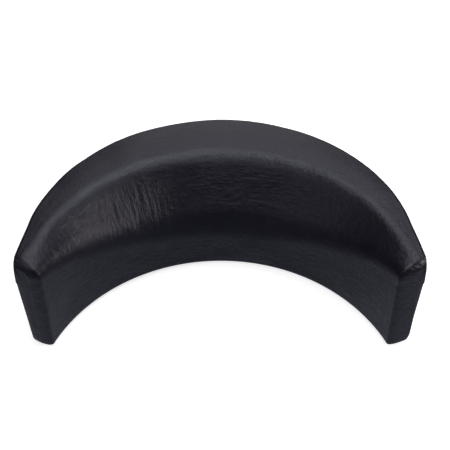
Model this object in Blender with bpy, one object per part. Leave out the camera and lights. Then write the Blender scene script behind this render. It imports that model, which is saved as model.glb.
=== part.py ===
"""Crescent chair headrest pad: vinyl over moulded foam on a plywood base with four M8 T-nuts.

Metres, +Z up. The pad stands on its underside, +X runs across the width, the closed back of the
crescent is at +Y and the opening for the neck faces -Y. Every section of the pad stands on a line
from the inner wall to the outer wall, and those lines fan round the crescent.
"""

import math

import bmesh
import bpy
from mathutils import Matrix, Vector

# Plan of the pad: an outer arc with straight arms, and an inner arc round the neck.
PAD_THICKNESS = 0.0835
OUTER_RADIUS = 0.147
OUTER_TURN = math.radians(80)
OUTER_ARM = 0.0425
INNER_RADIUS = 0.139
INNER_TURN = math.radians(70.5)
INNER_APEX_Y = 0.0031

# Layers, from the underside up. Neighbours keep GAP between their meshes.
GAP = 0.0003
SHEET = 0.0012
WIRE_THICKNESS = 0.00065
BOARD_THICKNESS = 0.012
CROWN_Z = SHEET + GAP
HEM_Z = CROWN_Z + WIRE_THICKNESS + GAP
BOARD_Z = HEM_Z + SHEET + GAP
BOARD_TOP_Z = BOARD_Z + BOARD_THICKNESS
FOAM_Z = BOARD_TOP_Z + GAP
NUT_Z = BOARD_TOP_Z + GAP

# Heights above the underside. The sloped neck face runs from the fold up to the ridge.
PAD_HEIGHT = 0.0905
FOLD_HEIGHT_MIDDLE = 0.0461
FOLD_HEIGHT_TIP = 0.0870
FOLD_RISE_POWER = 2.6
BAND_WIDTH_MIDDLE = 0.0460
BAND_WIDTH_TIP = 0.0085

# The outer wall leans in above and below its widest height.
BULGE_HEIGHT = 0.0655
TOP_LEAN = 0.0012
FOOT_LEAN = 0.0055

# How far each corner's rounding starts from the corner, and how far the end faces round over.
# The end face at +X rounds further into the neck side than the one at -X.
FOOT_ROUND = 0.0025
FOLD_ROUND_MIDDLE = 0.0150
FOLD_ROUND_TIP = 0.0080
RIDGE_ROUND_MIDDLE = 0.0100
RIDGE_ROUND_TIP = 0.0050
RIM_ROUND = 0.0038
LEAST_ROUND = 0.0003
MOST_ROUND_SHARE = 0.45
TIP_DEPTH = 0.0080
TIP_ROUND_INNER_LEFT = 0.0090
TIP_ROUND_INNER_RIGHT = 0.0140
TIP_ROUND_TOP = 0.0065
TIP_ROUND_OUTER = 0.0022
TIP_ROUND_FOOT = 0.0020

# The vinyl is turned under the board as a hem. The board and the underside cover sit inside it.
HEM_WIDTH = 0.015
HEM_OPENING_END = 0.80
BOARD_INSET = 0.0020
BOARD_END = 0.970
COVER_INSET = 0.0060
COVER_END = 0.945

# Four M8 T-nuts on a rectangle, their flanges on top of the board.
NUT_SPACING_X = 0.064
NUT_SPACING_Y = 0.032
NUT_CENTRE_Y = 0.039
NUT_BORE_RADIUS = 0.0034
NUT_BARREL_RADIUS = 0.0050
NUT_BARREL_LENGTH = 0.0100
NUT_FLANGE_RADIUS = 0.0110
NUT_FLANGE_THICKNESS = 0.0018
PRONG_WIDTH = 0.0036
PRONG_THICKNESS = 0.0012
PRONG_LENGTH = 0.0070
BOLT_ROOM_RADIUS = 0.0085
BOLT_ROOM_TOP = 0.0300
BOLT_HOLE_RADIUS = 0.0060

# Upholstery staples. COVER_CROWN_Z sets their crowns into the underside cover.
WIRE_WIDTH = 0.00095
CROWN = 0.0128
LEG = 0.0100
STAPLE_ROOM = 0.00025
COVER_CROWN_Z = 0.0001
HEM_STAPLE_INSET = 0.0125
COVER_STAPLE_INSET = 0.0085
# Each row: how many staples, and the share of the half length that it reaches.
HEM_OUTER_ROW = (12, 0.76)
HEM_INNER_ROW = (8, 0.70)
HEM_TIP_ROW = (2, 0.90)
COVER_OUTER_ROW = (11, 0.86)
COVER_INNER_ROW = (9, 0.86)
ALIGN_STEP = 0.01

# Mesh fineness.
STATIONS_PER_HALF = 14
TIP_STEPS = 4
CORNER_STEPS = 4
ROUND_SIDES = 24
OVERCUT = 0.002
SMOOTH_ANGLE = math.radians(35)


def clear_scene():
    """Remove every object of the startup scene."""
    for obj in list(bpy.data.objects):
        bpy.data.objects.remove(obj)


def finish_material(name, colour, roughness, metallic=0.0):
    """A Principled BSDF material of one finish."""
    made = bpy.data.materials.new(name)
    made.use_nodes = True
    shader = made.node_tree.nodes["Principled BSDF"]
    shader.inputs["Base Color"].default_value = (*colour, 1.0)
    shader.inputs["Roughness"].default_value = roughness
    shader.inputs["Metallic"].default_value = metallic
    return made


def outer_point(share):
    """Plan point of the outer wall at a share, -1 to 1, of its half length."""
    arc = OUTER_RADIUS * OUTER_TURN
    run = abs(share) * (arc + OUTER_ARM)
    turn = min(run / OUTER_RADIUS, OUTER_TURN)
    arm = max(run - arc, 0.0)
    centre_y = INNER_APEX_Y + PAD_THICKNESS - OUTER_RADIUS
    x = OUTER_RADIUS * math.sin(turn) + arm * math.cos(turn)
    y = centre_y + OUTER_RADIUS * math.cos(turn) - arm * math.sin(turn)
    return Vector((math.copysign(x, share), y))


def inner_point(share):
    """Plan point of the inner wall at a share, -1 to 1, of its half turn."""
    turn = share * INNER_TURN
    centre_y = INNER_APEX_Y - INNER_RADIUS
    return Vector((INNER_RADIUS * math.sin(turn), centre_y + INNER_RADIUS * math.cos(turn)))


def pad_width(share):
    """Distance from the inner wall to the outer wall along the section line."""
    return (outer_point(share) - inner_point(share)).length


def place(share, across, height):
    """Point at a distance along the section line, from the inner wall, and a height."""
    start = inner_point(share)
    along = (outer_point(share) - start).normalized()
    plan = start + along * across
    return Vector((plan.x, plan.y, height))


def pad_corners(share):
    """Corners of the pad's section as (across, height), from the inner foot over the top."""
    width = pad_width(share)
    rise = abs(inner_point(share).x / inner_point(1).x) ** FOLD_RISE_POWER
    fold = FOLD_HEIGHT_MIDDLE + (FOLD_HEIGHT_TIP - FOLD_HEIGHT_MIDDLE) * rise
    band = BAND_WIDTH_MIDDLE + (BAND_WIDTH_TIP - BAND_WIDTH_MIDDLE) * share**2
    return [
        Vector((0.0, HEM_Z)),
        Vector((0.0, fold)),
        Vector((width - band, PAD_HEIGHT)),
        Vector((width - TOP_LEAN, PAD_HEIGHT)),
        Vector((width, BULGE_HEIGHT)),
        Vector((width - FOOT_LEAN, HEM_Z)),
    ]


def moved_in(corners, insets):
    """The polygon with each edge, from one corner to the next, moved inwards by its own inset."""
    lines = []
    for index, inset in enumerate(insets):
        start = corners[index]
        along = (corners[(index + 1) % len(corners)] - start).normalized()
        lines.append((start + Vector((along.y, -along.x)) * inset, along))
    moved = []
    for index in range(len(corners)):
        first, first_along = lines[index - 1]
        second, second_along = lines[index]
        step = (second - first).cross(second_along) / first_along.cross(second_along)
        moved.append(first + first_along * step)
    return moved


def rounded(corners, rounds):
    """The polygon with each corner that has a round replaced by a curve."""
    points = []
    for index, corner in enumerate(corners):
        if rounds[index] == 0.0:
            points.append(corner)
            continue
        back = corners[index - 1] - corner
        ahead = corners[(index + 1) % len(corners)] - corner
        start = corner + back.normalized() * min(rounds[index], MOST_ROUND_SHARE * back.length)
        end = corner + ahead.normalized() * min(rounds[index], MOST_ROUND_SHARE * ahead.length)
        for step in range(CORNER_STEPS + 1):
            k = step / CORNER_STEPS
            points.append(start * (1 - k) ** 2 + corner * 2 * k * (1 - k) + end * k**2)
    return points


def pad_section(share, inset, foot, tip):
    """Section of the pad at an inset under its surface, with its foot at a height.

    tip runs from 0, along the pad's length, to 1, at the end face, and draws the section in.
    """
    draw = 1 - math.sqrt(1 - tip * tip)
    inner_round = TIP_ROUND_INNER_RIGHT if share > 0 else TIP_ROUND_INNER_LEFT
    top = inset + TIP_ROUND_TOP * draw
    outer = inset + TIP_ROUND_OUTER * draw
    insets = [
        inset + inner_round * draw,
        top,
        top,
        outer,
        outer,
        foot - HEM_Z + TIP_ROUND_FOOT * draw,
    ]
    fold_round = FOLD_ROUND_MIDDLE + (FOLD_ROUND_TIP - FOLD_ROUND_MIDDLE) * share**2
    ridge_round = RIDGE_ROUND_MIDDLE + (RIDGE_ROUND_TIP - RIDGE_ROUND_MIDDLE) * share**2
    rounds = [FOOT_ROUND, fold_round, ridge_round, RIM_ROUND, 0.0, FOOT_ROUND]
    shrunk = [max(size - inset, LEAST_ROUND) if size else 0.0 for size in rounds]
    return rounded(moved_in(pad_corners(share), insets), shrunk)


def add_object(name, shape):
    """Link a new object that holds the finished bmesh."""
    mesh = bpy.data.meshes.new(name)
    shape.to_mesh(mesh)
    shape.free()
    obj = bpy.data.objects.new(name, mesh)
    bpy.context.collection.objects.link(obj)
    return obj


def loft(name, rings):
    """A closed solid through rings of points, with a face across each end."""
    shape = bmesh.new()
    rows = [[shape.verts.new(point) for point in ring] for ring in rings]
    for row, following in zip(rows, rows[1:]):
        for index in range(len(row)):
            after = (index + 1) % len(row)
            shape.faces.new((row[index], row[after], following[after], following[index]))
    shape.faces.new(reversed(rows[0]))
    shape.faces.new(rows[-1])
    bmesh.ops.recalc_face_normals(shape, faces=shape.faces)
    return add_object(name, shape)


def pad_stations(inset):
    """(share, tip) of every section, from one end face to the other."""
    half_length = OUTER_RADIUS * OUTER_TURN + OUTER_ARM
    end = 1 - inset / half_length
    last = end - TIP_DEPTH / half_length
    half = [(last * step / STATIONS_PER_HALF, 0.0) for step in range(STATIONS_PER_HALF + 1)]
    for step in range(1, TIP_STEPS + 1):
        tip = math.sin(math.pi / 2 * step / TIP_STEPS)
        half.append((last + (end - last) * tip, tip))
    return [(-share, tip) for share, tip in reversed(half[1:])] + half


def pad_loft(name, inset, foot):
    """The whole pad's shape, moved in by an inset and cut flat at its foot."""
    rings = []
    for share, tip in pad_stations(inset):
        section = pad_section(share, inset, foot, tip)
        rings.append([place(share, point.x, point.y) for point in section])
    return loft(name, rings)


def crescent_plate(name, inset, end, low, high):
    """A flat crescent inside the pad's foot, ending at a share of the pad's half length."""
    rings = []
    count = 2 * STATIONS_PER_HALF
    for step in range(count + 1):
        share = end * (2 * step / count - 1)
        far = foot_width(share) - inset
        corners = [(inset, low), (inset, high), (far, high), (far, low)]
        rings.append([place(share, across, height) for across, height in corners])
    return loft(name, rings)


def foot_width(share):
    """Width of the pad at its foot along the section line."""
    return pad_width(share) - FOOT_LEAN


def prism(name, outline, depth):
    """A closed outline in X and Z, extruded along Y about Y = 0."""
    rings = []
    for side in (-0.5, 0.5):
        rings.append([Vector((x, side * depth, z)) for x, z in outline])
    return loft(name, rings)


def rod(name, radius, low, high):
    """A round rod about Z."""
    rings = []
    for height in (low, high):
        turns = [2 * math.pi * side / ROUND_SIDES for side in range(ROUND_SIDES)]
        rings.append([Vector((radius * math.cos(a), radius * math.sin(a), height)) for a in turns])
    return loft(name, rings)


def joined(name, objects):
    """One helper that holds the meshes of several objects as separate bodies."""
    shape = bmesh.new()
    for obj in objects:
        shape.from_mesh(obj.data)
        bpy.data.objects.remove(obj)
    helper = add_object(name, shape)
    helper.hide_render = True
    helper.display_type = "WIRE"
    return helper


def copies(source, places):
    """Copies of an object with their meshes moved by each matrix; the source is removed."""
    made = []
    for matrix in places:
        mesh = source.data.copy()
        mesh.transform(matrix)
        obj = bpy.data.objects.new(source.name, mesh)
        bpy.context.collection.objects.link(obj)
        made.append(obj)
    bpy.data.objects.remove(source)
    return made


def combine(obj, helper, operation):
    """Add a Boolean with a helper."""
    modifier = obj.modifiers.new(helper.name, "BOOLEAN")
    modifier.operation = operation
    modifier.object = helper
    modifier.solver = "EXACT"


def dress(obj, surface):
    """Give an object its material, and smooth shading with its hard edges kept."""
    obj.data.materials.append(surface)
    obj.data.shade_smooth()
    obj.data.set_sharp_from_angle(angle=SMOOTH_ANGLE)


def nut_places():
    """Matrices of the four T-nuts, from the flange's underside."""
    places = []
    for side_y in (-0.5, 0.5):
        for side_x in (-0.5, 0.5):
            spot = (side_x * NUT_SPACING_X, NUT_CENTRE_Y + side_y * NUT_SPACING_Y, NUT_Z)
            places.append(Matrix.Translation(spot))
    return places


def prongs(name, clearance, top):
    """The T-nut's four prongs, or with a clearance the slots they need, as one helper."""
    half = PRONG_THICKNESS / 2 + clearance
    low = -PRONG_LENGTH - clearance
    outline = [(-half, low), (-half, top), (half, top), (half, low)]
    prong = prism(name, outline, PRONG_WIDTH + 2 * clearance)
    rim = Matrix.Translation((NUT_FLANGE_RADIUS - PRONG_THICKNESS, 0, 0))
    turns = [Matrix.Rotation(quarter * math.pi / 2, 4, "Z") @ rim for quarter in range(4)]
    return joined(name, copies(prong, turns))


def tee_nut_blank():
    """The T-nut's flange and barrel in one piece, with its bore along Z."""
    profile = [
        (NUT_BORE_RADIUS, NUT_FLANGE_THICKNESS),
        (NUT_FLANGE_RADIUS, NUT_FLANGE_THICKNESS),
        (NUT_FLANGE_RADIUS, 0.0),
        (NUT_BARREL_RADIUS, 0.0),
        (NUT_BARREL_RADIUS, -NUT_BARREL_LENGTH),
        (NUT_BORE_RADIUS, -NUT_BARREL_LENGTH),
    ]
    shape = bmesh.new()
    rows = []
    for side in range(ROUND_SIDES):
        turn = 2 * math.pi * side / ROUND_SIDES
        row = [shape.verts.new((r * math.cos(turn), r * math.sin(turn), z)) for r, z in profile]
        rows.append(row)
    for side, row in enumerate(rows):
        following = rows[(side + 1) % ROUND_SIDES]
        for index in range(len(profile)):
            after = (index + 1) % len(profile)
            shape.faces.new((row[index], row[after], following[after], following[index]))
    bmesh.ops.recalc_face_normals(shape, faces=shape.faces)
    return add_object("tee_nut", shape)


def build_tee_nuts(surface):
    """Four T-nuts, each a flange, a barrel and four prongs in one piece."""
    for number, spot in enumerate(nut_places(), start=1):
        nut = copies(tee_nut_blank(), [spot])[0]
        nut.name = f"tee_nut_{number}"
        own_prongs = prongs(f"nut_prongs_{number}", 0.0, NUT_FLANGE_THICKNESS / 2)
        combine(nut, joined(own_prongs.name, copies(own_prongs, [spot])), "UNION")
        dress(nut, surface)


def staple_outline(clearance):
    """The staple's U in X and Z, crown down with its underside at 0, or the room it needs."""
    out = CROWN / 2 + clearance
    leg_in = CROWN / 2 - WIRE_THICKNESS - clearance
    low = -clearance
    crown_top = WIRE_THICKNESS + clearance
    top = LEG + clearance
    return [
        (-out, low),
        (-out, top),
        (-leg_in, top),
        (-leg_in, crown_top),
        (leg_in, crown_top),
        (leg_in, top),
        (out, top),
        (out, low),
    ]


def staple_place(share, line, height):
    """Matrix of a staple on a line, given as across distance by share, its crown along the line."""
    before = place(share - ALIGN_STEP, line(share - ALIGN_STEP), height)
    after = place(share + ALIGN_STEP, line(share + ALIGN_STEP), height)
    along = after - before
    turn = Matrix.Rotation(math.atan2(along.y, along.x), 4, "Z")
    return Matrix.Translation(place(share, line(share), height)) @ turn


def staple_row(count, end, line, height):
    """Matrices of evenly spaced staples on a line, from share -end to share end."""
    shares = [end * (2 * step / (count - 1) - 1) for step in range(count)]
    return [staple_place(share, line, height) for share in shares]


def hem_staple_places():
    """The staples that hold the hem to the board: an outer row, an inner row, one at each tip."""

    def outer_line(share):
        return foot_width(share) - HEM_STAPLE_INSET

    def inner_line(share):
        return HEM_STAPLE_INSET

    def middle_line(share):
        return foot_width(share) / 2

    places = staple_row(*HEM_OUTER_ROW, outer_line, CROWN_Z)
    places += staple_row(*HEM_INNER_ROW, inner_line, CROWN_Z)
    places += staple_row(*HEM_TIP_ROW, middle_line, CROWN_Z)
    return places


def cover_staple_places():
    """The staples that hold the underside cover, in an outer row and an inner row."""

    def outer_line(share):
        return foot_width(share) - COVER_STAPLE_INSET

    def inner_line(share):
        return COVER_STAPLE_INSET

    places = staple_row(*COVER_OUTER_ROW, outer_line, COVER_CROWN_Z)
    places += staple_row(*COVER_INNER_ROW, inner_line, COVER_CROWN_Z)
    return places


def build_staples(name, places, surface):
    """One staple at each place, numbered from one."""
    staples = copies(prism(name, staple_outline(0.0), WIRE_WIDTH), places)
    for number, staple in enumerate(staples, start=1):
        staple.name = f"{name}_{number:02d}"
        staple.data.materials.append(surface)


def staple_rooms():
    """The room that every staple needs in the cover, the hem and the board."""
    room = prism("staple_rooms", staple_outline(STAPLE_ROOM), WIRE_WIDTH + 2 * STAPLE_ROOM)
    return joined("staple_rooms", copies(room, hem_staple_places() + cover_staple_places()))


def nut_rods(name, radius, low, high):
    """A rod on each T-nut's axis between two heights, as one helper."""
    source = rod(name, radius, low - NUT_Z, high - NUT_Z)
    return joined(name, copies(source, nut_places()))


def build_vinyl_cover(surface, rooms):
    """The vinyl: a skin over the foam and round the board's edge, open under the board."""
    cover = pad_loft("vinyl_cover", 0.0, HEM_Z)
    inside = joined("vinyl_inside", [pad_loft("vinyl_inside", SHEET, HEM_Z + SHEET)])
    opening_top = HEM_Z + SHEET + OVERCUT
    opening = crescent_plate(
        "hem_opening", HEM_WIDTH, HEM_OPENING_END, HEM_Z - OVERCUT, opening_top
    )
    combine(cover, inside, "DIFFERENCE")
    combine(cover, joined("hem_opening", [opening]), "DIFFERENCE")
    combine(cover, rooms, "DIFFERENCE")
    dress(cover, surface)


def build_foam_core(surface):
    """The foam above the board, with pockets for the T-nut flanges and the bolt ends."""
    foam = pad_loft("foam_core", SHEET + GAP, FOAM_Z)
    pocket_top = NUT_Z + NUT_FLANGE_THICKNESS + GAP
    flanges = nut_rods("flange_pockets", NUT_FLANGE_RADIUS + GAP, FOAM_Z - OVERCUT, pocket_top)
    bolts = nut_rods("bolt_pockets", BOLT_ROOM_RADIUS, FOAM_Z - OVERCUT, BOLT_ROOM_TOP)
    combine(foam, flanges, "DIFFERENCE")
    combine(foam, bolts, "DIFFERENCE")
    dress(foam, surface)


def build_base_board(surface, rooms):
    """The plywood crescent, bored for the T-nuts and holed by their prongs and the staples."""
    board = crescent_plate("base_board", BOARD_INSET, BOARD_END, BOARD_Z, BOARD_TOP_Z)
    bores = nut_rods(
        "barrel_bores", NUT_BARREL_RADIUS + GAP, BOARD_Z - OVERCUT, BOARD_TOP_Z + OVERCUT
    )
    slots = joined("prong_slots", copies(prongs("prong_slots", GAP, OVERCUT), nut_places()))
    combine(board, bores, "DIFFERENCE")
    combine(board, slots, "DIFFERENCE")
    combine(board, rooms, "DIFFERENCE")
    dress(board, surface)


def build_underside_cover(surface, rooms):
    """The thin cover stapled under the board, with a hole for each bolt."""
    cover = crescent_plate("underside_cover", COVER_INSET, COVER_END, 0.0, SHEET)
    combine(cover, nut_rods("bolt_holes", BOLT_HOLE_RADIUS, -OVERCUT, SHEET + OVERCUT), "DIFFERENCE")
    combine(cover, rooms, "DIFFERENCE")
    dress(cover, surface)


def main():
    """Build every piece of the headrest pad."""
    clear_scene()
    rooms = staple_rooms()
    vinyl = finish_material("vinyl", (0.028, 0.028, 0.036), 0.40)
    foam = finish_material("foam", (0.62, 0.55, 0.36), 0.95)
    plywood = finish_material("plywood", (0.55, 0.38, 0.21), 0.70)
    fabric = finish_material("underside_fabric", (0.020, 0.020, 0.021), 0.95)
    zinc = finish_material("zinc_plated_steel", (0.62, 0.62, 0.63), 0.30, metallic=1.0)
    wire = finish_material("staple_wire", (0.55, 0.55, 0.56), 0.35, metallic=1.0)
    build_vinyl_cover(vinyl, rooms)
    build_foam_core(foam)
    build_base_board(plywood, rooms)
    build_underside_cover(fabric, rooms)
    build_tee_nuts(zinc)
    build_staples("hem_staple", hem_staple_places(), wire)
    build_staples("cover_staple", cover_staple_places(), wire)


main()
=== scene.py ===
"""Looks of the crescent headrest pad: grained vinyl over foam, its underside and a plain studio."""

import math

import bmesh
import bpy
import numpy as np
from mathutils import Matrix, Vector


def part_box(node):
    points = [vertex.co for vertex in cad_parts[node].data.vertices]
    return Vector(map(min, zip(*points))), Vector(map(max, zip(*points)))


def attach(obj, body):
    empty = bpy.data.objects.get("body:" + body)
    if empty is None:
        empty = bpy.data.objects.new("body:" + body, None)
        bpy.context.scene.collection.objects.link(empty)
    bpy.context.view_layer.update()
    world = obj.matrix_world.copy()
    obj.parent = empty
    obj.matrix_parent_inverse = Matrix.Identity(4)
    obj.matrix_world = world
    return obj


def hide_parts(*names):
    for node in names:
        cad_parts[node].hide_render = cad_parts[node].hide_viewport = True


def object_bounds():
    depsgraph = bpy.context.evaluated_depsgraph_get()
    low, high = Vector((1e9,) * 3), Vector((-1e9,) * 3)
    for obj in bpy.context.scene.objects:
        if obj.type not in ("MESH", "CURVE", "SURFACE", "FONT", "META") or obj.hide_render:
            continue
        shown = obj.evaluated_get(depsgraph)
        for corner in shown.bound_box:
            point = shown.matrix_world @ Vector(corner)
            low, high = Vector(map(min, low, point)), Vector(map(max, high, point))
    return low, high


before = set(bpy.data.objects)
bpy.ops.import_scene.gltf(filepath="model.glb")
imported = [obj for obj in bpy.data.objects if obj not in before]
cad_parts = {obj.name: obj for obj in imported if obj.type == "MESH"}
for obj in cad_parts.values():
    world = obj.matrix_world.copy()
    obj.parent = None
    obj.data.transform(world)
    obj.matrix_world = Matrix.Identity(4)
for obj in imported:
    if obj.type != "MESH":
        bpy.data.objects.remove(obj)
cad_low, cad_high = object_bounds()

# ------------------------------------------------------------------ sizes read from the frame
MM = 0.001
VINYL_LOW, VINYL_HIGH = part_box("vinyl_cover")
TOP_Z = VINYL_HIGH.z
FOOT_Z = VINYL_LOW.z
BACK_Y = VINYL_HIGH.y

# ------------------------------------------------------------------ plan and section, as in the CAD
THICKNESS = 83.5 * MM
OUTER_RADIUS = 147.0 * MM
OUTER_TURN = math.radians(80)
OUTER_ARM = 42.5 * MM
INNER_RADIUS = 139.0 * MM
INNER_TURN = math.radians(70.5)
OUTER_LENGTH = OUTER_RADIUS * OUTER_TURN + OUTER_ARM
FOLD_MIDDLE_Z = FOOT_Z + 43.6 * MM
FOLD_TIP_Z = TOP_Z - 3.5 * MM
FOLD_RISE_POWER = 2.6
BAND_MIDDLE = 46.0 * MM
BAND_TIP = 8.5 * MM
BULGE_Z = FOOT_Z + 63.0 * MM
TOP_LEAN = 1.2 * MM
FOOT_LEAN = 5.5 * MM
TIP_DEPTH = 8.0 * MM
TIP_INNER_LEFT, TIP_INNER_RIGHT = 9.0 * MM, 14.0 * MM
TIP_TOP, TIP_OUTER, TIP_FOOT = 6.5 * MM, 2.2 * MM, 2.0 * MM
# How far round the tip's rounding goes before the crowned end face takes over.
TIP_TURN = math.radians(68)
# The end face bulges most, by END_CROWN, at this share of its height.
END_CROWN = 1.8 * MM
CROWN_HEIGHT = 0.25
# Its rings shrink towards an upright line, this share of its height, and stop just short of it.
SPINE_SHARE = 0.80
CAP_OPENING = 0.3
HEM_WIDTH = 15.0 * MM
HEM_MEETING_GAP = 0.3 * MM

# Rounding starts this far from each corner: inner foot, fold, ridge, rim, bulge, outer foot.
CORNER_ROUNDS_MIDDLE = np.array([2.5, 15.0, 10.0, 3.8, 5.0, 2.5]) * MM
CORNER_ROUNDS_TIP = np.array([2.5, 8.0, 4.0, 3.8, 3.0, 2.5]) * MM
CORNER_ROWS = (6, 18, 12, 9, 8, 6)
# The most of an edge that the rounding at one of its ends may take.
MOST_ROUND_SHARE = 0.42
# Rows on the edges after the hem: inner wall, cove, top band, upper and lower outer wall.
EDGE_ROWS = (44, 76, 30, 8, 22)
HEM_ROWS = 6
STATIONS = 350
TIP_RINGS = 10
CAP_RINGS = 10


def outer_points(share):
    """Plan points of the outer wall at shares, -1 to 1, of its half length."""
    run = np.abs(share) * OUTER_LENGTH
    turn = np.minimum(run / OUTER_RADIUS, OUTER_TURN)
    arm = np.maximum(run - OUTER_RADIUS * OUTER_TURN, 0.0)
    centre_y = BACK_Y - OUTER_RADIUS
    x = OUTER_RADIUS * np.sin(turn) + arm * np.cos(turn)
    y = centre_y + OUTER_RADIUS * np.cos(turn) - arm * np.sin(turn)
    return np.stack([x * np.where(share < 0, -1, 1), y], -1)


def inner_points(share):
    """Plan points of the inner wall at shares, -1 to 1, of its half turn."""
    turn = share * INNER_TURN
    centre_y = BACK_Y - THICKNESS - INNER_RADIUS
    return np.stack([INNER_RADIUS * np.sin(turn), centre_y + INNER_RADIUS * np.cos(turn)], -1)


def section_corners(share):
    """The section's six (across, height) corners at each share, from inner to outer foot."""
    width = np.linalg.norm(outer_points(share) - inner_points(share), axis=-1)
    tip_x = INNER_RADIUS * math.sin(INNER_TURN)
    rise = np.abs(inner_points(share)[..., 0] / tip_x) ** FOLD_RISE_POWER
    fold = FOLD_MIDDLE_Z + (FOLD_TIP_Z - FOLD_MIDDLE_Z) * rise
    band = BAND_MIDDLE + (BAND_TIP - BAND_MIDDLE) * share**2
    foot = np.full_like(width, FOOT_Z)
    top = np.full_like(width, TOP_Z)
    bulge = np.full_like(width, BULGE_Z)
    across = np.stack(
        [0 * width, 0 * width, width - band, width - TOP_LEAN, width, width - FOOT_LEAN], -1
    )
    return np.stack([across, np.stack([foot, fold, top, top, bulge, foot], -1)], -1)


def moved_in(corners, insets):
    """Each section polygon with edge k, from corner k to the next, moved in by insets[:, k]."""
    along = np.roll(corners, -1, 1) - corners
    along /= np.linalg.norm(along, axis=-1, keepdims=True)
    inward = np.stack([along[..., 1], -along[..., 0]], -1)
    start = corners + inward * insets[..., None]
    before, before_along = np.roll(start, 1, 1), np.roll(along, 1, 1)
    gap = start - before
    step = gap[..., 0] * along[..., 1] - gap[..., 1] * along[..., 0]
    step /= before_along[..., 0] * along[..., 1] - before_along[..., 1] * along[..., 0]
    return before + before_along * step[..., None]


def edge_run(start, end, rows):
    """Rows of points strictly between two columns of points."""
    k = (np.arange(rows) + 1) / (rows + 1)
    return start[:, None] * (1 - k)[None, :, None] + end[:, None] * k[None, :, None]


def section_rows(share, corners, edge_rows, corner_rows, hem_rows):
    """Rows of (across, height) round each section, from the inner hem edge to the outer one."""
    previous = np.roll(corners, 1, 1)
    following = np.roll(corners, -1, 1)
    tipward = share[:, None] ** 2
    rounds = CORNER_ROUNDS_MIDDLE + (CORNER_ROUNDS_TIP - CORNER_ROUNDS_MIDDLE) * tipward
    parts = []
    ends = []
    for index in range(6):
        corner = corners[:, index]
        back = previous[:, index] - corner
        ahead = following[:, index] - corner
        back_length = np.linalg.norm(back, axis=-1, keepdims=True)
        ahead_length = np.linalg.norm(ahead, axis=-1, keepdims=True)
        round_length = rounds[:, index, None]
        start = corner + back * np.minimum(round_length / back_length, MOST_ROUND_SHARE)
        end = corner + ahead * np.minimum(round_length / ahead_length, MOST_ROUND_SHARE)
        k = np.linspace(0, 1, corner_rows[index])[None, :, None]
        curve = start[:, None] * (1 - k) ** 2 + corner[:, None] * 2 * k * (1 - k)
        curve = curve + end[:, None] * k**2
        ends.append((start, end))
        if index:
            parts.append(edge_run(ends[index - 1][1], start, edge_rows[index - 1]))
        parts.append(curve)
    foot_width = corners[:, 5, 0] - corners[:, 0, 0]
    hem = np.minimum(HEM_WIDTH, foot_width / 2 - HEM_MEETING_GAP)
    inner_edge = corners[:, 0] + np.stack([hem, 0 * hem], -1)
    outer_edge = corners[:, 5] - np.stack([hem, 0 * hem], -1)
    first = np.concatenate([inner_edge[:, None], edge_run(inner_edge, ends[0][0], hem_rows)], 1)
    last = np.concatenate([edge_run(ends[5][1], outer_edge, hem_rows), outer_edge[:, None]], 1)
    return np.concatenate([first] + parts + [last], 1)


def skin_grid(stations, tip_rings, edge_rows, corner_rows, hem_rows):
    """Points of the skin and the share of each station, from the end face at -X to that at +X."""
    last = 1.0 - TIP_DEPTH / OUTER_LENGTH
    body = np.linspace(-last, last, stations)
    turn = np.linspace(0, TIP_TURN, tip_rings + 1)[1:]
    tip_share = last + (1.0 - last) * np.sin(turn) / math.sin(TIP_TURN)
    share = np.concatenate([-tip_share[::-1], body, tip_share])
    tip_draw = (1 - np.cos(turn)) / (1 - math.cos(TIP_TURN))
    draw = np.concatenate([tip_draw[::-1], 0 * body, tip_draw])
    inner = np.where(share > 0, TIP_INNER_RIGHT, TIP_INNER_LEFT)
    others = draw[:, None] * np.array([TIP_TOP, TIP_TOP, TIP_OUTER, TIP_OUTER, TIP_FOOT])
    insets = np.concatenate([(draw * inner)[:, None], others], 1)
    corners = moved_in(section_corners(share), insets)
    rows = section_rows(share, corners, edge_rows, corner_rows, hem_rows)
    inner = inner_points(share)
    along = outer_points(share) - inner
    along /= np.linalg.norm(along, axis=-1, keepdims=True)
    plan = inner[:, None] + along[:, None] * rows[..., :1]
    return np.concatenate([plan, rows[..., 1:]], -1), share


def grid_normals(points):
    """Unit normals of a grid of points, facing out of the pad."""
    along = np.gradient(points, axis=0)
    around = np.gradient(points, axis=1)
    normal = np.cross(along, around)
    length = np.linalg.norm(normal, axis=-1, keepdims=True)
    return normal / np.maximum(length, 1e-12)


def running_length(points, axis):
    """Distance along an axis of the grid, from its first line."""
    step = np.linalg.norm(np.diff(points, axis=axis), axis=-1)
    zero = np.zeros_like(np.take(step, [0], axis=axis))
    return np.cumsum(np.concatenate([zero, step], axis=axis), axis=axis)


NOISE_LATTICE = 256


def smooth_noise(u, v, seed):
    """Smooth noise from -1 to 1 with features about one unit across, seeded and repeatable."""
    size = NOISE_LATTICE
    lattice = np.random.default_rng(seed).uniform(-1, 1, (size, size))
    iu, iv = np.floor(u).astype(int), np.floor(v).astype(int)
    fu, fv = u - iu, v - iv
    fu, fv = fu * fu * (3 - 2 * fu), fv * fv * (3 - 2 * fv)
    iu, iv = iu % size, iv % size
    ju, jv = (iu + 1) % size, (iv + 1) % size
    low = lattice[iu, iv] * (1 - fu) + lattice[ju, iv] * fu
    high = lattice[iu, jv] * (1 - fu) + lattice[ju, jv] * fu
    return low * (1 - fv) + high * fv


def step_between(value, low, high):
    """Smooth ramp from 0 at low to 1 at high."""
    k = np.clip((value - low) / (high - low), 0, 1)
    return k * k * (3 - 2 * k)


# Creases wander sideways by CREASE_BEND of their spacing, over CREASE_BEND_WIDTH spacings.
CREASE_BEND = 0.6
CREASE_BEND_WIDTH = 4
CREASE_STEEPNESS = 2.2


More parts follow.
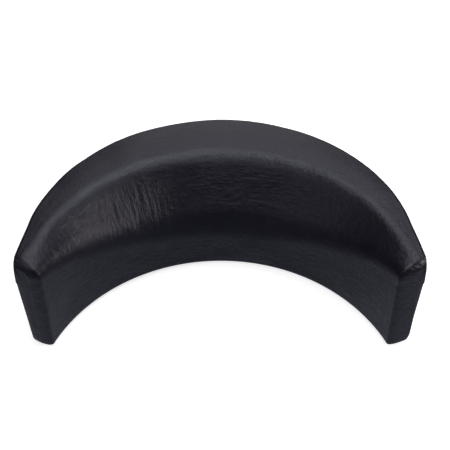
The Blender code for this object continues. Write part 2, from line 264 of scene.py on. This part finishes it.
def creases(u, v, across, along, seed):
    """Ridged creases that run along v: sharp lines, `across` apart and `along` long."""
    bend = smooth_noise(u / (CREASE_BEND_WIDTH * across), v / along, seed + 1) * CREASE_BEND
    value = smooth_noise(u / across + bend, v / along, seed)
    return 1 - np.abs(value) * CREASE_STEEPNESS


# ------------------------------------------------------------------ the vinyl cover
COARSE_STATIONS = 52
COARSE_TIP_RINGS = 3
COARSE_CORNER_ROWS = (2, 3, 3, 3, 2, 2)
COARSE_EDGE_ROWS = (5, 6, 4, 2, 4)
COARSE_HEM_ROWS = 1
# Rows held at each hem: its edge, the hem itself and the rounding of the foot.
HELD_ROWS = 1 + COARSE_HEM_ROWS + COARSE_CORNER_ROWS[0]
HELD_STATIONS = 1 + COARSE_TIP_RINGS
CLOTH_FRAMES = 20
CLOTH_SETTINGS = {
    "quality": 6,
    "mass": 0.2,
    "tension_stiffness": 60,
    "compression_stiffness": 60,
    "bending_stiffness": 6,
    "use_pressure": True,
    "uniform_pressure_force": 4,
    "vertex_group_mass": "held",
}
SWELL_LIMIT = 1.6 * MM


def swell_of(rest, held):
    """How far cloth pressure moves each point of the coarse skin; held marks the pinned points."""
    count_u, count_v = rest.shape[:2]
    mesh = bpy.data.meshes.new("swell")
    index = np.arange(count_u * count_v).reshape(count_u, count_v)
    quads = np.stack([index[:-1, :-1], index[1:, :-1], index[1:, 1:], index[:-1, 1:]], -1)
    mesh.from_pydata(rest.reshape(-1, 3).tolist(), [], quads.reshape(-1, 4).tolist())
    obj = bpy.data.objects.new("swell", mesh)
    bpy.context.scene.collection.objects.link(obj)
    pins = obj.vertex_groups.new(name="held")
    pins.add(np.flatnonzero(held.reshape(-1)).tolist(), 1.0, "REPLACE")
    cloth = obj.modifiers.new("Cloth", "CLOTH")
    for name, value in CLOTH_SETTINGS.items():
        setattr(cloth.settings, name, value)
    cloth.settings.effector_weights.gravity = 0
    cloth.point_cache.frame_end = CLOTH_FRAMES
    for step in range(1, CLOTH_FRAMES + 1):
        bpy.context.scene.frame_set(step)
    graph = bpy.context.evaluated_depsgraph_get()
    settled = obj.evaluated_get(graph).data
    moved = np.empty(count_u * count_v * 3)
    settled.vertices.foreach_get("co", moved)
    bpy.data.objects.remove(obj)
    bpy.context.scene.frame_set(1)
    swell = moved.reshape(rest.shape) - rest
    swell = (swell + swell[::-1] * np.array([-1, 1, 1])) / 2
    out = grid_normals(rest)
    lift = np.clip((swell * out).sum(-1, keepdims=True), 0.0, SWELL_LIMIT)
    return out * lift


def spread(coarse, coarse_share, coarse_part, share, part):
    """A coarse grid of vectors read at every point of the fine grid."""
    at_u = np.interp(share, coarse_share, np.arange(len(coarse_share)))
    out = np.empty(part.shape + (3,))
    for i, u in enumerate(at_u):
        low = min(int(u), len(coarse_share) - 2)
        k = u - low
        k = k * k * (3 - 2 * k)
        values = coarse[low] * (1 - k) + coarse[low + 1] * k
        line = coarse_part[low] * (1 - k) + coarse_part[low + 1] * k
        for axis in range(3):
            out[i, :, axis] = np.interp(part[i], line, values[:, axis])
    return out


def around_share(points):
    """Position round each section as a share of its whole length, 0 to 1."""
    length = running_length(points, 1)
    return length / length[:, -1:]


def tensioned(points, share):
    """The skin swollen by cloth pressure from the foam, with its hem and ends held."""
    coarse, coarse_share = skin_grid(
        COARSE_STATIONS, COARSE_TIP_RINGS, COARSE_EDGE_ROWS, COARSE_CORNER_ROWS, COARSE_HEM_ROWS
    )
    held = np.zeros(coarse.shape[:2], bool)
    held[:, :HELD_ROWS] = True
    held[:, -HELD_ROWS:] = True
    held[:HELD_STATIONS] = True
    held[-HELD_STATIONS:] = True
    swell = swell_of(coarse, held)
    return points + spread(swell, coarse_share, around_share(coarse), share, around_share(points))


# Where each kind of wrinkle lies, by share of the half length, and how high it stands.
RADIAL_CENTRE, RADIAL_REACH = -0.53, 0.34
ALONG_CENTRE, ALONG_REACH = 0.14, 0.32
RADIAL_HEIGHT = 0.26 * MM
ALONG_HEIGHT = 0.12 * MM
EVERYWHERE_HEIGHT = 0.045 * MM
UNEVEN_HEIGHT = 0.30 * MM
# Layers of creases: share of the height, spacing, length and seed.
RADIAL_CREASES = ((1.0, 2.4 * MM, 17.0 * MM, 21), (0.6, 4.6 * MM, 24.0 * MM, 24))
ALONG_CREASES = ((1.0, 2.6 * MM, 10.0 * MM, 31), (0.5, 5.0 * MM, 18.0 * MM, 34))
# The radial creases' share that is in the lower cove only; the rest is all over the cove.
LOW_COVE_SHARE = 0.55
# The creases' strength varies in patches: their length, width and seed, and the least strength.
PATCHES = (18.0 * MM, 16.0 * MM, 11)
PATCH_LEAST = 0.35
# Two crossed layers of fine crumpling all over: spacing, length and seed; the first is slanted.
CRUMPLE_SLANT = 0.4
CRUMPLE_ACROSS = (3.2 * MM, 5.5 * MM, 41)
CRUMPLE_ALONG = (3.0 * MM, 5.0 * MM, 44)
# How much calmer the top band is, in its crumpled shape and in its crumpled bump.
TOP_CALM_SHAPE = 0.85
TOP_CALM_BUMP = 0.6
# Layers of slight unevenness: share of the height, length, width and seed.
UNEVEN_LAYERS = ((1.0, 34.0 * MM, 26.0 * MM, 51), (0.5, 15.0 * MM, 13.0 * MM, 53))
UNEVEN_FADE = (0.93, 0.98)
# The wrinkles' length scale: the skin's mean half length as a share of the outer wall's.
MEAN_LENGTH_SHARE = 0.85
# The pleat folded over each tip's outer edge, and the gathers at its inner corner.
TIP_FADE = (0.955, 0.985)
# Down from the top, the pleat rises over PLEAT_START and ends at PLEAT_DROP, within PLEAT_EDGE.
PLEAT_HEIGHT = 0.6 * MM
PLEAT_START = (2.0 * MM, 12.0 * MM)
PLEAT_DROP = 24.0 * MM
PLEAT_EDGE = 0.8 * MM
GATHER_HEIGHT = 0.12 * MM
GATHER_CREASES = (2.6 * MM, 9.0 * MM, 61)
# Margins of each region, in rows: how far its first and last row move, and how fast it fades.
COVE_MARGINS = (-6, -2, 12)
LOW_COVE_MARGINS = (4, 0, 14)
FACES_MARGINS = (4, 0, 4)
TOP_MARGINS = (0, 0, 10)
PLEAT_MARGINS = (-4, 3, 3)
GATHER_MARGINS = (-8, 8, 6)


def row_bands(edge_rows, corner_rows, hem_rows):
    """First and last row of the inner wall, cove, top band, upper and lower outer wall."""
    at = 1 + hem_rows + corner_rows[0]
    bands = []
    for index, rows in enumerate(edge_rows):
        bands.append((at, at + rows))
        at += rows + corner_rows[index + 1]
    return bands


def band_mask(count, first, last, margins):
    """1 on the rows from first to last, moved and faded by the margins, else 0."""
    low, high, fade = first + margins[0], last + margins[1], margins[2]
    row = np.arange(count)
    begun = step_between(row, low - fade, low + fade)
    ended = step_between(row, high - fade, high + fade)
    return (begun * (1 - ended))[None]


def wrinkled(points, share):
    """The skin with real wrinkles, slight unevenness and the folded pleats at the tips.

    Also returns, for the bumps of the material: the distances u along and v around the skin, the
    strength of both kinds of creases and of the crumpling.
    """
    count = points.shape[1]
    normal = grid_normals(points)
    u = np.repeat(share[:, None] * (OUTER_LENGTH * MEAN_LENGTH_SHARE), count, 1)
    wall, slope, top_band, _, lower_outer = row_bands(EDGE_ROWS, CORNER_ROWS, HEM_ROWS)
    fold_row = wall[1] + CORNER_ROWS[1] // 2
    v = running_length(points, 1)
    v -= v[:, fold_row : fold_row + 1]
    low_cove_end = (slope[0] + 2 * slope[1]) // 3
    cove = band_mask(count, *slope, COVE_MARGINS)
    low_cove = band_mask(count, wall[1], low_cove_end, LOW_COVE_MARGINS)
    faces = band_mask(count, wall[0], lower_outer[1], FACES_MARGINS)
    top = band_mask(count, *top_band, TOP_MARGINS)
    at = share[:, None]
    patch_length, patch_width, patch_seed = PATCHES
    patches = 0.5 + 0.5 * smooth_noise(u / patch_length, v / patch_width, patch_seed)
    strength = PATCH_LEAST + (1 - PATCH_LEAST) * patches
    reaching = LOW_COVE_SHARE * low_cove + (1 - LOW_COVE_SHARE) * cove
    radial = np.exp(-(((at - RADIAL_CENTRE) / RADIAL_REACH) ** 4)) * reaching * strength
    along = np.exp(-(((at - ALONG_CENTRE) / ALONG_REACH) ** 2)) * cove * strength
    lift = np.zeros_like(u)
    for part, spacing, length, seed in RADIAL_CREASES:
        lift += radial * RADIAL_HEIGHT * part * creases(u, v, spacing, length, seed)
    for part, spacing, length, seed in ALONG_CREASES:
        lift += along * ALONG_HEIGHT * part * creases(v, u, spacing, length, seed)
    crumple = creases(u + v * CRUMPLE_SLANT, v, *CRUMPLE_ACROSS) + creases(v, u, *CRUMPLE_ALONG)
    lift += EVERYWHERE_HEIGHT * crumple * faces * (1 - TOP_CALM_SHAPE * top)
    uneven = np.zeros_like(u)
    for part, length, width, seed in UNEVEN_LAYERS:
        uneven += part * smooth_noise(u / length, v / width, seed)
    lift += UNEVEN_HEIGHT * uneven * faces * (1 - step_between(np.abs(at), *UNEVEN_FADE))
    lift += tip_details(points, share, v)
    crumpled = np.broadcast_to(1 - TOP_CALM_BUMP * top, u.shape)
    return points + normal * lift[..., None], (u, v, radial, along, crumpled)


def tip_details(points, share, v):
    """Lift of the folded pleat at each tip's outer edge, and of the gathers at its inner corner."""
    wall, slope, _, upper_outer, lower_outer = row_bands(EDGE_ROWS, CORNER_ROWS, HEM_ROWS)
    count = points.shape[1]
    near_tip = step_between(np.abs(share), *TIP_FADE)[:, None]
    outer = band_mask(count, upper_outer[0], lower_outer[1], PLEAT_MARGINS)
    drop = TOP_Z - points[..., 2]
    pleat = step_between(drop, *PLEAT_START)
    pleat *= 1 - step_between(drop, PLEAT_DROP - PLEAT_EDGE, PLEAT_DROP + PLEAT_EDGE)
    inner = band_mask(count, wall[1], slope[1], GATHER_MARGINS)
    gathers = creases(v, share[:, None] * OUTER_LENGTH, *GATHER_CREASES)
    return near_tip * (outer * pleat * PLEAT_HEIGHT + inner * gathers * GATHER_HEIGHT)


def crown_at(height):
    """How far an end face bulges at a share of its height: most at CROWN_HEIGHT, none on top."""
    return END_CROWN * (1 - ((height - CROWN_HEIGHT) / (1 - CROWN_HEIGHT)) ** 2)


def zipped(shape, ring):
    """Close a narrow loop with triangles between its two sides, from the hem up to the top."""
    top = max(range(len(ring)), key=lambda k: ring[k].co.z)
    first, second = ring[: top + 1], ring[: top - 1 : -1]
    i = j = 0
    while i + 1 < len(first) or j + 1 < len(second):
        ahead = i + 1 < len(first)
        if ahead and (j + 1 == len(second) or first[i + 1].co.z <= second[j + 1].co.z):
            corners = (first[i], first[i + 1], second[j])
            i += 1
        else:
            corners = (first[i], second[j + 1], second[j])
            j += 1
        if len(set(corners)) == 3:
            shape.faces.new(corners).smooth = True


def end_cap(shape, ring, outward):
    """Rings inside the edge of one end face that close it, crowned most low down."""
    centre = sum((vert.co for vert in ring), Vector()) / len(ring)
    middle_z = (FOOT_Z + TOP_Z) / 2
    current = ring
    for step in range(1, CAP_RINGS + 1):
        pull = step / (CAP_RINGS + CAP_OPENING)
        inner = []
        for vert in ring:
            spot = Vector((centre.x, centre.y, middle_z + (vert.co.z - middle_z) * SPINE_SHARE))
            point = vert.co.lerp(spot, pull)
            crown = crown_at((point.z - FOOT_Z) / (TOP_Z - FOOT_Z))
            crown *= math.sin(pull * math.pi / 2)
            inner.append(shape.verts.new(point + outward * crown))
        for k in range(len(ring)):
            after = (k + 1) % len(ring)
            face = shape.faces.new((current[k], current[after], inner[after], inner[k]))
            face.smooth = True
        current = inner
    zipped(shape, current)


# What the material reads at each point of the skin.
SKIN_FIELDS = ("skin_u", "skin_v", "radial", "along", "crumpled")


def vinyl_skin(surface):
    """The vinyl cover as one fine mesh, open only where its hem leaves the board bare."""
    points, share = skin_grid(STATIONS, TIP_RINGS, EDGE_ROWS, CORNER_ROWS, HEM_ROWS)
    points = tensioned(points, share)
    points, fields = wrinkled(points, share)
    count_u, count_v = points.shape[:2]
    shape = bmesh.new()
    grid = [[shape.verts.new(points[i, j]) for j in range(count_v)] for i in range(count_u)]
    for i in range(count_u - 1):
        for j in range(count_v - 1):
            near, far = grid[i], grid[i + 1]
            face = shape.faces.new((near[j], far[j], far[j + 1], near[j + 1]))
            face.smooth = True
    first_out = Vector(np.mean(points[0] - points[1], 0)).normalized()
    last_out = Vector(np.mean(points[-1] - points[-2], 0)).normalized()
    end_cap(shape, grid[0], first_out)
    end_cap(shape, grid[-1][::-1], last_out)
    shape.verts.index_update()
    mesh = bpy.data.meshes.new("vinyl_skin")
    shape.normal_update()
    shape.to_mesh(mesh)
    for name, values in zip(SKIN_FIELDS, fields):
        store(mesh, name, values)
    shape.free()
    mesh.materials.append(surface)
    obj = bpy.data.objects.new("vinyl_skin", mesh)
    bpy.context.scene.collection.objects.link(obj)
    return obj


def store(mesh, name, values):
    """Keep one number for each grid vertex; the end caps keep zero."""
    layer = mesh.attributes.new(name, "FLOAT", "POINT")
    whole = np.zeros(len(mesh.vertices), np.float32)
    whole[: values.size] = values.reshape(-1)
    layer.data.foreach_set("value", whole)


# ------------------------------------------------------------------ materials
class Nodes:
    """Short calls for building one material's nodes.

    A method's value may be a number, a colour or another node's output. Scales are per metre.
    """

    def __init__(self, name):
        self.material = bpy.data.materials.new(name)
        self.material.use_nodes = True
        self.tree = self.material.node_tree
        self.shader = self.tree.nodes["Principled BSDF"]

    def add(self, kind, settings=(), **inputs):
        node = self.tree.nodes.new(kind)
        for key, value in dict(settings).items():
            setattr(node, key, value)
        for key, value in inputs.items():
            self.link(value, node.inputs[key.replace("_", " ")])
        return node

    def link(self, value, socket):
        if isinstance(value, bpy.types.NodeSocket):
            self.tree.links.new(value, socket)
        else:
            socket.default_value = value

    def place(self):
        """Coordinates of the object itself, so that a pattern stays on it from every side."""
        return self.add("ShaderNodeTexCoord").outputs["Object"]

    def noise(self, scale, detail=3.0, roughness=0.5, vector=None):
        node = self.add(
            "ShaderNodeTexNoise",
            Vector=vector or self.place(), Scale=scale, Detail=detail, Roughness=roughness,
        )
        return node.outputs["Fac"]

    def cells(self, scale, feature, vector=None):
        node = self.add(
            "ShaderNodeTexVoronoi", {"feature": feature}, Vector=vector or self.place(), Scale=scale
        )
        return node.outputs["Distance"]

    def ramp(self, value, stops):
        node = self.add("ShaderNodeValToRGB", Fac=value)
        elements = node.color_ramp.elements
        while len(elements) < len(stops):
            elements.new(0.5)
        for element, (position, colour) in zip(elements, stops):
            element.position = position
            element.color = (*colour, 1.0)
        return node.outputs["Color"]

    def span(self, value, low, high, to_low, to_high):
        """A value from low to high, mapped to run from to_low to to_high."""
        node = self.add("ShaderNodeMapRange", {"clamp": True}, Value=value)
        for index, number in enumerate((low, high, to_low, to_high), start=1):
            node.inputs[index].default_value = number
        return node.outputs["Result"]

    def math(self, operation, first, second):
        node = self.add("ShaderNodeMath", {"operation": operation})
        self.link(first, node.inputs[0])
        self.link(second, node.inputs[1])
        return node.outputs["Value"]

    def bump(self, height, distance, strength, normal=None):
        node = self.add("ShaderNodeBump", Height=height, Distance=distance, Strength=strength)
        if normal is not None:
            self.link(normal, node.inputs["Normal"])
        return node.outputs["Normal"]

    def finish(self, **inputs):
        for key, value in inputs.items():
            self.link(value, self.shader.inputs[key.replace("_", " ")])
        return self.material


# Colours by tone, from low to high: (tone, colour).
# The vinyl's darker tones also carry painted shade in the grooves between its grain's pebbles.
VINYL_TONES = (
    (0.25, (0.0018, 0.0018, 0.0045)),
    (0.55, (0.0026, 0.0026, 0.0060)),
    (0.85, (0.0038, 0.0038, 0.0080)),
)
VINYL_GLOSS_TINT = (0.83, 0.83, 1.0, 1.0)
PLYWOOD_TONES = (
    (0.25, (0.30, 0.185, 0.090)),
    (0.55, (0.50, 0.345, 0.190)),
    (0.80, (0.60, 0.44, 0.27)),
)
FOAM_TONES = ((0.3, (0.56, 0.47, 0.27)), (0.7, (0.66, 0.58, 0.38)))
FABRIC_TONES = ((0.3, (0.010,) * 3), (0.7, (0.032,) * 3))
FLOOR_TONES = ((0.3, (0.78, 0.785, 0.79)), (0.7, (0.81, 0.815, 0.82)))


def vinyl_material():
    """Black vinyl with a faint blue cast: pebble grain, crumpling, fine lines in its creases, and
    painted shade darkening the grooves between its pebbles.
    """
    n = Nodes("leather_grain_vinyl")
    u, v, radial, along, crumpled = (
        n.add("ShaderNodeAttribute", {"attribute_name": name}).outputs["Fac"]
        for name in SKIN_FIELDS
    )

    def stretched(scale_u, scale_v):
        return n.add(
            "ShaderNodeCombineXYZ",
            X=n.math("MULTIPLY", u, scale_u),
            Y=n.math("MULTIPLY", v, scale_v),
        ).outputs["Vector"]

    across = n.noise(1.0, detail=3.0, roughness=0.6, vector=stretched(520.0, 110.0))
    lengthways = n.noise(1.0, detail=3.0, roughness=0.6, vector=stretched(110.0, 560.0))
    pebbles = n.cells(900.0, "DISTANCE_TO_EDGE")
    pebble_height_and_shade = n.span(pebbles, low=0.0, high=0.22, to_low=0.0, to_high=1.0)
    crumple = n.noise(330.0, detail=4.0, roughness=0.6)
    broad = n.noise(55.0, detail=2.0, roughness=0.5)
    normal = n.bump(n.math("MULTIPLY", across, radial), distance=1.2 * MM, strength=0.55)
    normal = n.bump(
        n.math("MULTIPLY", lengthways, along), distance=1.0 * MM, strength=0.55, normal=normal
    )
    normal = n.bump(
        n.math("MULTIPLY", crumple, crumpled), distance=0.7 * MM, strength=0.50, normal=normal
    )
    normal = n.bump(pebble_height_and_shade, distance=0.12 * MM, strength=0.45, normal=normal)
    # Colour follows a random broad tone and the pebble height: it is darker where the height is
    # low, which is painted shade in the grooves between pebbles.
    tone = n.math("ADD", n.math("MULTIPLY", broad, 0.6), n.math("MULTIPLY", pebble_height_and_shade, 0.4))
    polish = n.math("ADD", crumple, n.math("MULTIPLY", broad, 0.5))
    return n.finish(
        Base_Color=n.ramp(tone, VINYL_TONES),
        Roughness=n.span(polish, low=0.5, high=1.0, to_low=0.33, to_high=0.42),
        Specular_IOR_Level=0.50,
        Specular_Tint=VINYL_GLOSS_TINT,
        Normal=normal,
    )


def fabric_material():
    """Black non-woven sheet: pressed fibres with a faint dot pattern."""
    n = Nodes("nonwoven_fabric")
    fibres = n.noise(1900.0, detail=5.0, roughness=0.75)
    clumps = n.noise(240.0, detail=3.0, roughness=0.6)
    dots = n.cells(700.0, "F1")
    normal = n.bump(fibres, distance=0.25 * MM, strength=0.7)
    normal = n.bump(dots, distance=0.20 * MM, strength=0.5, normal=normal)
    tone = n.math("ADD", n.math("MULTIPLY", fibres, 0.5), n.math("MULTIPLY", clumps, 0.5))
    colour = n.ramp(tone, FABRIC_TONES)
    return n.finish(Base_Color=colour, Roughness=0.92, Specular_IOR_Level=0.2, Normal=normal)


def metal_material(name, dark, light, rough):
    """Plated steel with faint clouding and fine scratches."""
    n = Nodes(name)
    clouds = n.noise(420.0, detail=3.0, roughness=0.6)
    scratches = n.noise(2600.0, detail=2.0, roughness=0.7)
    colour = n.ramp(clouds, [(0.3, dark), (0.75, light)])
    roughness = n.span(scratches, low=0.3, high=0.7, to_low=rough - 0.06, to_high=rough + 0.10)
    normal = n.bump(scratches, distance=0.03 * MM, strength=0.4)
    return n.finish(Base_Color=colour, Roughness=roughness, Metallic=1.0, Normal=normal)


def plywood_material():
    """Birch plywood: pale veneer with long grain, and darker glue lines on its edge."""
    n = Nodes("birch_plywood")
    stretch = n.add("ShaderNodeMapping", Vector=n.place(), Scale=(14.0, 160.0, 900.0))
    grain = n.noise(1.0, detail=5.0, roughness=0.6, vector=stretch.outputs["Vector"])
    layers = n.add(
        "ShaderNodeTexWave", {"bands_direction": "Z"},
        Vector=n.place(), Scale=105.0, Distortion=0.6, Detail=2.0,
    ).outputs["Fac"]
    tone = n.math("ADD", n.math("MULTIPLY", grain, 0.7), n.math("MULTIPLY", layers, 0.3))
    normal = n.bump(grain, distance=0.3 * MM, strength=0.4)
    return n.finish(Base_Color=n.ramp(tone, PLYWOOD_TONES), Roughness=0.68, Normal=normal)


def foam_material():
    """Cream polyurethane foam with open cells."""
    n = Nodes("polyurethane_foam")
    cells = n.cells(1300.0, "F1")
    tint = n.noise(40.0, detail=2.0, roughness=0.5)
    normal = n.bump(cells, distance=0.6 * MM, strength=0.8)
    return n.finish(Base_Color=n.ramp(tint, FOAM_TONES), Roughness=0.95, Normal=normal)


def dress_frame():
    """Give every CAD node that stays in view the material of its slot."""
    looks = {
        "foam_core": foam_material(),
        "base_board": plywood_material(),
        "underside_cover": fabric_material(),
    }
    nut_metal = metal_material("zinc_plate", (0.50, 0.50, 0.50), (0.66, 0.66, 0.64), 0.30)
    wire_metal = metal_material("galvanised_wire", (0.42, 0.42, 0.43), (0.60, 0.60, 0.61), 0.36)
    for name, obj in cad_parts.items():
        if name == "vinyl_cover":
            continue
        if name.startswith("tee_nut"):
            looks[name] = nut_metal
        if "staple" in name:
            looks[name] = wire_metal
        for slot in obj.material_slots:
            slot.material = looks[name]


# ------------------------------------------------------------------ studio
CENTRE_Z = FOOT_Z + 44.0 * MM
CAMERA_LENS = 80.0
CAMERA_SENSOR = 36.0
CAMERA_DISTANCE = 810.0 * MM
CAMERA_TARGET = Vector((3.6 * MM, BACK_Y - THICKNESS, CENTRE_Z))
CAMERA_ELEVATION = math.radians(45)

FLOOR_REACH = 6.0
FLOOR_DROP = 0.2 * MM
FLOOR_GLOW = 0.78

# Brightness of the surround at each height of a direction, from straight down to straight up.
SURROUND = (
    (-1.0, 0.52),
    (-0.8, 0.42),
    (-0.62, 0.15),
    (-0.4, 0.06),
    (0.08, 0.28),
    (0.3, 0.03),
    (1.0, 0.02),
)
SURROUND_TINT = (0.95, 0.95, 1.12)

WHITE = (1.0, 1.0, 1.0)
LIGHT_DISTANCE = 1.0
# Each light's name, direction from the pad, size, power and colour.
LIGHTS = (
    ("key_above", (0.12, 0.32, 0.94), 0.72, 4.0, (1.0, 0.99, 0.975)),
    ("ridge_above", (0.06, 0.20, 0.98), 0.30, 1.0, WHITE),
    ("right_above", (0.60, 0.15, 0.78), 0.50, 0.8, WHITE),
    ("front_above", (0.0, -0.36, 0.93), 0.50, 1.4, WHITE),
    ("low_behind", (0.0, 0.90, 0.42), 0.50, 1.1, WHITE),
    ("left_front", (-0.66, -0.35, 0.66), 0.50, 0.9, WHITE),
    ("lamp_right", (0.93, -0.14, 0.29), 0.14, 3.8, (1.0, 0.93, 0.85)),
)


def studio_floor():
    """A plain pale floor, far wider than the view, that glows to show white and isn't reflected.

    It lies just below the pad's foot, so that the two don't share a plane.
    """
    shape = bmesh.new()
    turns = ((-1, -1), (1, -1), (1, 1), (-1, 1))
    floor_z = cad_low.z - FLOOR_DROP
    corners = [(x * FLOOR_REACH, y * FLOOR_REACH, floor_z) for x, y in turns]
    shape.faces.new([shape.verts.new(corner) for corner in corners])
    mesh = bpy.data.meshes.new("studio_floor")
    shape.to_mesh(mesh)
    shape.free()
    n = Nodes("pale_floor")
    tint = n.noise(3.0, detail=2.0, roughness=0.5)
    surface = n.finish(
        Base_Color=n.ramp(tint, FLOOR_TONES),
        Roughness=0.9,
        Emission_Color=(*WHITE, 1.0),
        Emission_Strength=FLOOR_GLOW,
    )
    mesh.materials.append(surface)
    obj = bpy.data.objects.new("studio_floor", mesh)
    bpy.context.scene.collection.objects.link(obj)
    obj.visible_glossy = False


def area_light(name, direction, size, power, colour):
    """A soft square light that looks at the pad from a direction."""
    light = bpy.data.lights.new(name, "AREA")
    light.shape = "SQUARE"
    light.size = size
    light.energy = power
    light.color = colour
    obj = bpy.data.objects.new(name, light)
    bpy.context.scene.collection.objects.link(obj)
    centre = Vector((0.0, 0.0, CENTRE_Z))
    obj.location = centre + Vector(direction).normalized() * LIGHT_DISTANCE
    obj.rotation_euler = (centre - obj.location).to_track_quat("-Z", "Y").to_euler()


def studio_surround():
    """A surround graded by height: pale below, in place of the floor's reflection, dim above."""
    world = bpy.data.worlds.new("studio")
    bpy.context.scene.world = world
    world.use_nodes = True
    tree = world.node_tree
    direction = tree.nodes.new("ShaderNodeTexCoord")
    parts = tree.nodes.new("ShaderNodeSeparateXYZ")
    share = tree.nodes.new("ShaderNodeMapRange")
    share.inputs["From Min"].default_value = -1.0
    ramp = tree.nodes.new("ShaderNodeValToRGB")
    elements = ramp.color_ramp.elements
    while len(elements) < len(SURROUND):
        elements.new(0.5)
    for element, (height, value) in zip(elements, SURROUND):
        element.position = (height + 1) / 2
        element.color = (*(value * part for part in SURROUND_TINT), 1.0)
    tree.links.new(direction.outputs["Generated"], parts.inputs["Vector"])
    tree.links.new(parts.outputs["Z"], share.inputs["Value"])
    tree.links.new(share.outputs["Result"], ramp.inputs["Fac"])
    tree.links.new(ramp.outputs["Color"], tree.nodes["Background"].inputs["Color"])


def studio_lights():
    """Six soft lights, five from above and one low behind, and a small warm lamp at the right."""
    for name, direction, size, power, colour in LIGHTS:
        area_light(name, direction, size, power, colour)


def studio_camera():
    """A long lens at 45 degrees above the front."""
    data = bpy.data.cameras.new("camera")
    data.lens = CAMERA_LENS
    data.sensor_width = CAMERA_SENSOR
    obj = bpy.data.objects.new("camera", data)
    bpy.context.scene.collection.objects.link(obj)
    back = Vector((0.0, -math.cos(CAMERA_ELEVATION), math.sin(CAMERA_ELEVATION)))
    obj.location = CAMERA_TARGET + back * CAMERA_DISTANCE
    obj.rotation_euler = (-back).to_track_quat("-Z", "Y").to_euler()
    bpy.context.scene.camera = obj


bpy.context.scene.view_settings.view_transform = "Standard"
skin = vinyl_skin(vinyl_material())
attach(skin, "root")
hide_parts("vinyl_cover")
dress_frame()
studio_floor()
studio_surround()
studio_lights()
studio_camera()
